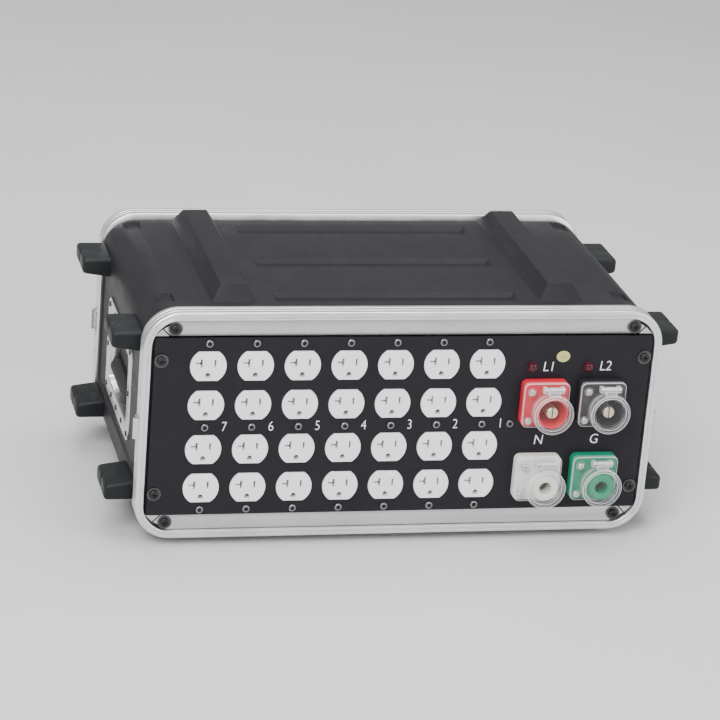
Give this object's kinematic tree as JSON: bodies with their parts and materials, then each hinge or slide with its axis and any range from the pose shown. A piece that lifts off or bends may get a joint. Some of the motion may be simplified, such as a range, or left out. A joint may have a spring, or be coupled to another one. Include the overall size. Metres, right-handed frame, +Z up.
{
  "type": "portable power distribution box",
  "caption": "Moulded rack case with metal end rings, a front panel of duplex outlets and flip-lid single-pole inlets, rear breakers and side handles.",
  "frame": {"origin": "floor level under the middle of the whole box with its inlet lids closed", "axes": "+X to the right of someone who faces the outlets, +Y from the outlets towards the rear, +Z up"},
  "size_m": [0.55, 0.3308, 0.244],
  "materials": {
    "case_plastic": "pebbled moulded polyethylene",
    "bumper_plastic": "smooth moulded",
    "frame_aluminium": "satin anodised extrusion",
    "strip_aluminium": "brushed",
    "panel_paint": "fine textured powder coat",
    "outlet_plastic": "semi-gloss moulded",
    "outlet_body_plastic": "moulded",
    "contact_brass": "bright",
    "strap_steel": "zinc plated",
    "screw_steel": "nickel plated",
    "black_steel": "black oxide",
    "inlet_red": "moulded",
    "inlet_black": "moulded",
    "inlet_white": "moulded",
    "inlet_green": "moulded",
    "clear_plastic": "clear polycarbonate",
    "lamp_red": "translucent lens",
    "sticker_paper": "satin",
    "breaker_plastic": "moulded",
    "toggle_plastic": "moulded",
    "rear_panel_paint": "fine textured powder coat",
    "handle_plate_metal": "black zinc",
    "handle_steel": "nickel plated",
    "grip_rubber": "moulded",
    "wiring_block_plastic": "moulded"
  },
  "bodies": {
    "case": {"case_shell": "case_plastic", "bumpers_left": "bumper_plastic", "bumpers_right": "bumper_plastic", "front_ring": "frame_aluminium", "rear_ring": "frame_aluminium", "trim_strips": "strip_aluminium", "corner_gussets": "strip_aluminium", "lid_catches": "screw_steel", "frame_rivets": "screw_steel", "rack_rails_front": "strap_steel", "rack_rails_rear": "strap_steel", "front_panel": "panel_paint", "outlet_faces": "outlet_plastic", "outlet_bodies": "outlet_body_plastic", "outlet_contacts": "contact_brass", "outlet_straps": "strap_steel", "yoke_screws": "screw_steel", "black_screws": "black_steel", "black_washers": "black_steel", "inlet_body_l1": "inlet_red", "inlet_body_l2": "inlet_black", "inlet_body_n": "inlet_white", "inlet_body_g": "inlet_green", "inlet_pins": "contact_brass", "inlet_sockets": "contact_brass", "inlet_covers": "clear_plastic", "inlet_hinge_pins": "screw_steel", "inlet_cover_screws": "screw_steel", "lamp_lenses": "lamp_red", "lamp_bodies": "black_steel", "round_sticker": "sticker_paper", "rear_panel": "rear_panel_paint", "branch_breakers": "breaker_plastic", "main_breaker": "breaker_plastic", "din_rail": "strap_steel", "neutral_bar": "contact_brass", "ground_bar": "contact_brass", "bar_supports": "wiring_block_plastic", "distribution_block": "wiring_block_plastic", "handle_dish_left": "handle_plate_metal", "handle_dish_right": "handle_plate_metal", "handle_rods": "handle_steel", "handle_rivets": "screw_steel"},
    "lid_l1": {"inlet_lid_l1": "clear_plastic"},
    "lid_l2": {"inlet_lid_l2": "clear_plastic"},
    "lid_n": {"inlet_lid_n": "clear_plastic"},
    "lid_g": {"inlet_lid_g": "clear_plastic"},
    "branch_toggle_1": {"branch_toggle_1": "toggle_plastic"},
    "branch_toggle_2": {"branch_toggle_2": "toggle_plastic"},
    "branch_toggle_3": {"branch_toggle_3": "toggle_plastic"},
    "branch_toggle_4": {"branch_toggle_4": "toggle_plastic"},
    "branch_toggle_5": {"branch_toggle_5": "toggle_plastic"},
    "branch_toggle_6": {"branch_toggle_6": "toggle_plastic"},
    "branch_toggle_7": {"branch_toggle_7": "toggle_plastic"},
    "main_toggle": {"main_toggle": "toggle_plastic"},
    "handle_left": {"handle_bail_left": "handle_steel", "handle_grip_left": "grip_rubber"},
    "handle_right": {"handle_bail_right": "handle_steel", "handle_grip_right": "grip_rubber"}
  },
  "joints": [
    {"name": "lid_l1_hinge", "type": "hinge", "parent": "case", "child": "lid_l1", "pos_m": [0.141, -0.1555, 0.1621], "axis": [-1, 0, 0], "range_deg": [0, 110], "stiffness_Nm_per_rad": 0.02, "springref_deg": -20.05},
    {"name": "lid_l2_hinge", "type": "hinge", "parent": "case", "child": "lid_l2", "pos_m": [0.197, -0.1555, 0.1621], "axis": [-1, 0, 0], "range_deg": [0, 110], "stiffness_Nm_per_rad": 0.02, "springref_deg": -20.05},
    {"name": "lid_n_hinge", "type": "hinge", "parent": "case", "child": "lid_n", "pos_m": [0.141, -0.1555, 0.0858], "axis": [-1, 0, 0], "range_deg": [0, 110], "stiffness_Nm_per_rad": 0.02, "springref_deg": -20.05},
    {"name": "lid_g_hinge", "type": "hinge", "parent": "case", "child": "lid_g", "pos_m": [0.197, -0.1555, 0.0858], "axis": [-1, 0, 0], "range_deg": [0, 110], "stiffness_Nm_per_rad": 0.02, "springref_deg": -20.05},
    {"name": "branch_toggle_1_hinge", "type": "hinge", "parent": "case", "child": "branch_toggle_1", "pos_m": [-0.077, 0.1515, 0.122], "axis": [-1, 0, 0], "range_deg": [0, 50]},
    {"name": "branch_toggle_2_hinge", "type": "hinge", "parent": "case", "child": "branch_toggle_2", "pos_m": [-0.059, 0.1515, 0.122], "axis": [-1, 0, 0], "range_deg": [0, 50]},
    {"name": "branch_toggle_3_hinge", "type": "hinge", "parent": "case", "child": "branch_toggle_3", "pos_m": [-0.041, 0.1515, 0.122], "axis": [-1, 0, 0], "range_deg": [0, 50]},
    {"name": "branch_toggle_4_hinge", "type": "hinge", "parent": "case", "child": "branch_toggle_4", "pos_m": [-0.023, 0.1515, 0.122], "axis": [-1, 0, 0], "range_deg": [0, 50]},
    {"name": "branch_toggle_5_hinge", "type": "hinge", "parent": "case", "child": "branch_toggle_5", "pos_m": [-0.005, 0.1515, 0.122], "axis": [-1, 0, 0], "range_deg": [0, 50]},
    {"name": "branch_toggle_6_hinge", "type": "hinge", "parent": "case", "child": "branch_toggle_6", "pos_m": [0.013, 0.1515, 0.122], "axis": [-1, 0, 0], "range_deg": [0, 50]},
    {"name": "branch_toggle_7_hinge", "type": "hinge", "parent": "case", "child": "branch_toggle_7", "pos_m": [0.031, 0.1515, 0.122], "axis": [-1, 0, 0], "range_deg": [0, 50]},
    {"name": "main_toggle_hinge", "type": "hinge", "parent": "case", "child": "main_toggle", "pos_m": [0.068, 0.1515, 0.122], "axis": [-1, 0, 0], "range_deg": [0, 50]},
    {"name": "handle_left_hinge", "type": "hinge", "parent": "case", "child": "handle_left", "pos_m": [-0.24, 0.014, 0.148], "axis": [0, 1, 0], "range_deg": [0, 90], "stiffness_Nm_per_rad": 0.3, "springref_deg": -22.92},
    {"name": "handle_right_hinge", "type": "hinge", "parent": "case", "child": "handle_right", "pos_m": [0.24, 0.014, 0.148], "axis": [0, -1, 0], "range_deg": [0, 90], "stiffness_Nm_per_rad": 0.3, "springref_deg": -22.92}
  ]
}
